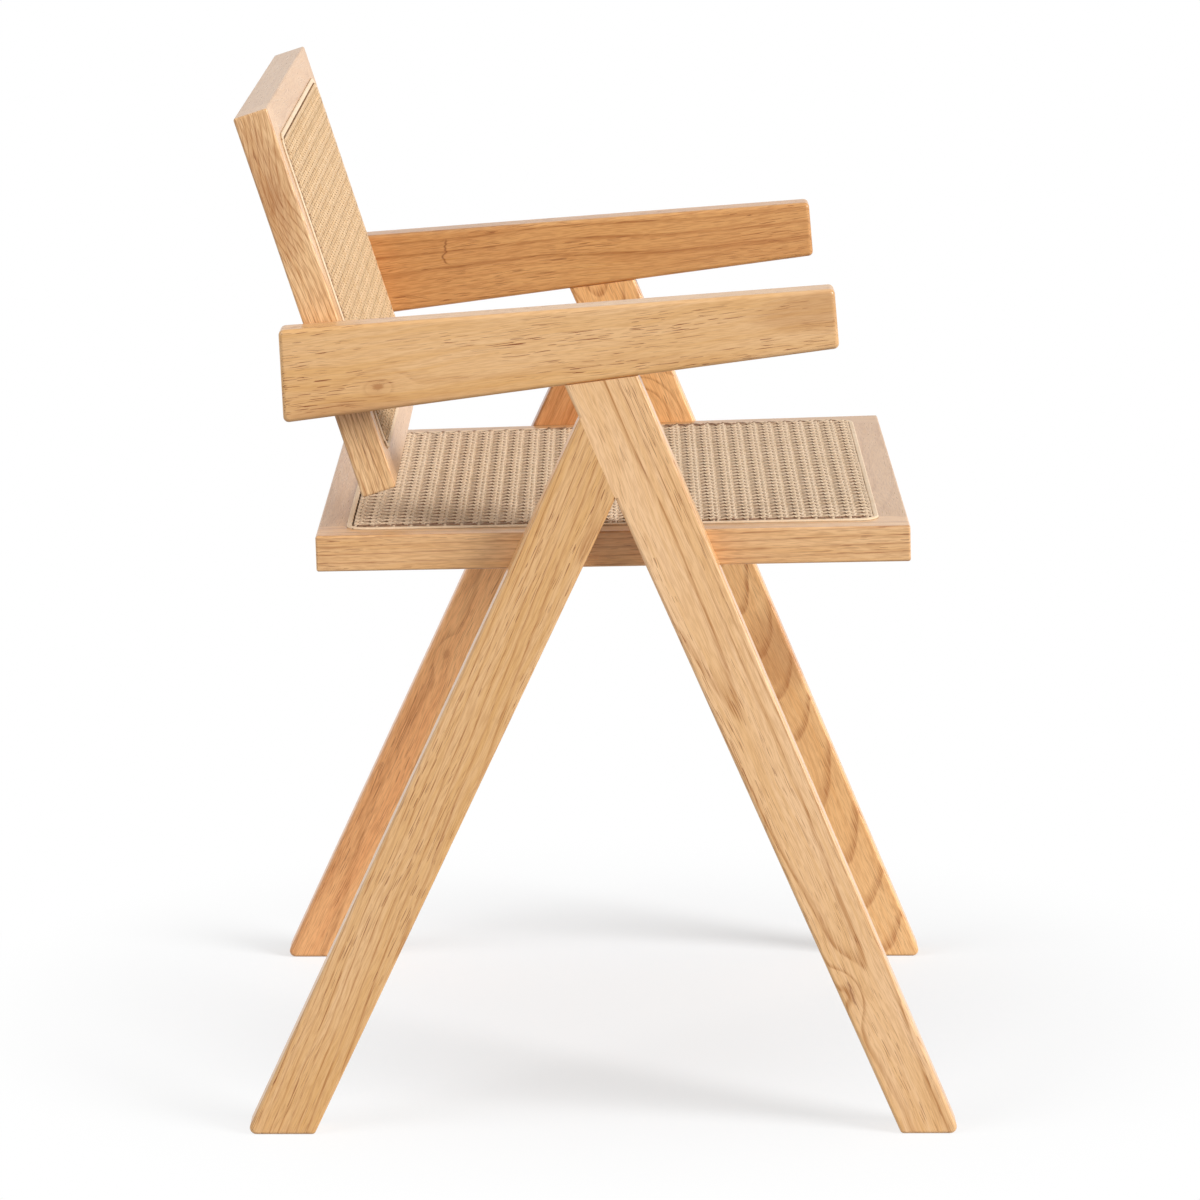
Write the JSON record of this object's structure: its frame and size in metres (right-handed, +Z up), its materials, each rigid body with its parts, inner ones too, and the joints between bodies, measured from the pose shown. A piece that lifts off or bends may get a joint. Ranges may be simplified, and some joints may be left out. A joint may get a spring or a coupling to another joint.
{
  "type": "wooden chair",
  "caption": "Wooden armchair with A-shaped side frames, tapered plank legs and armrests, and a woven cane seat and leaning cane back in wooden frames.",
  "frame": {"origin": "on the floor, at the middle of the chair's bounding box in plan", "axes": "+Z up, the chair faces -Y, +X is the sitter's left"},
  "size_m": [0.515, 0.5334, 0.77],
  "materials": {
    "wood": "light natural wood, satin lacquer",
    "dowel_wood": "plain hardwood",
    "cane": "woven rattan cane, matte",
    "spline": "pale rattan reed, matte",
    "bolt_steel": "zinc plated",
    "insert_brass": "plain"
  },
  "bodies": {
    "root": {"armrest_left": "wood", "armrest_right": "wood", "front_leg_left": "wood", "front_leg_right": "wood", "rear_leg_left": "wood", "rear_leg_right": "wood", "seat_side_rail_left": "wood", "seat_side_rail_right": "wood", "seat_front_rail": "wood", "seat_rear_rail": "wood", "back_stile_left": "wood", "back_stile_right": "wood", "back_top_rail": "wood", "back_bottom_rail": "wood", "leg_joint_dowels": "dowel_wood", "arm_dowels": "dowel_wood", "seat_frame_dowels": "dowel_wood", "back_frame_dowels": "dowel_wood", "seat_cane": "cane", "back_cane": "cane", "seat_spline": "spline", "back_spline": "spline", "seat_bolts": "bolt_steel", "back_bolts": "bolt_steel", "seat_bolt_washers": "bolt_steel", "back_bolt_washers": "bolt_steel", "seat_threaded_inserts": "insert_brass", "back_threaded_inserts": "insert_brass"}
  },
  "joints": []
}
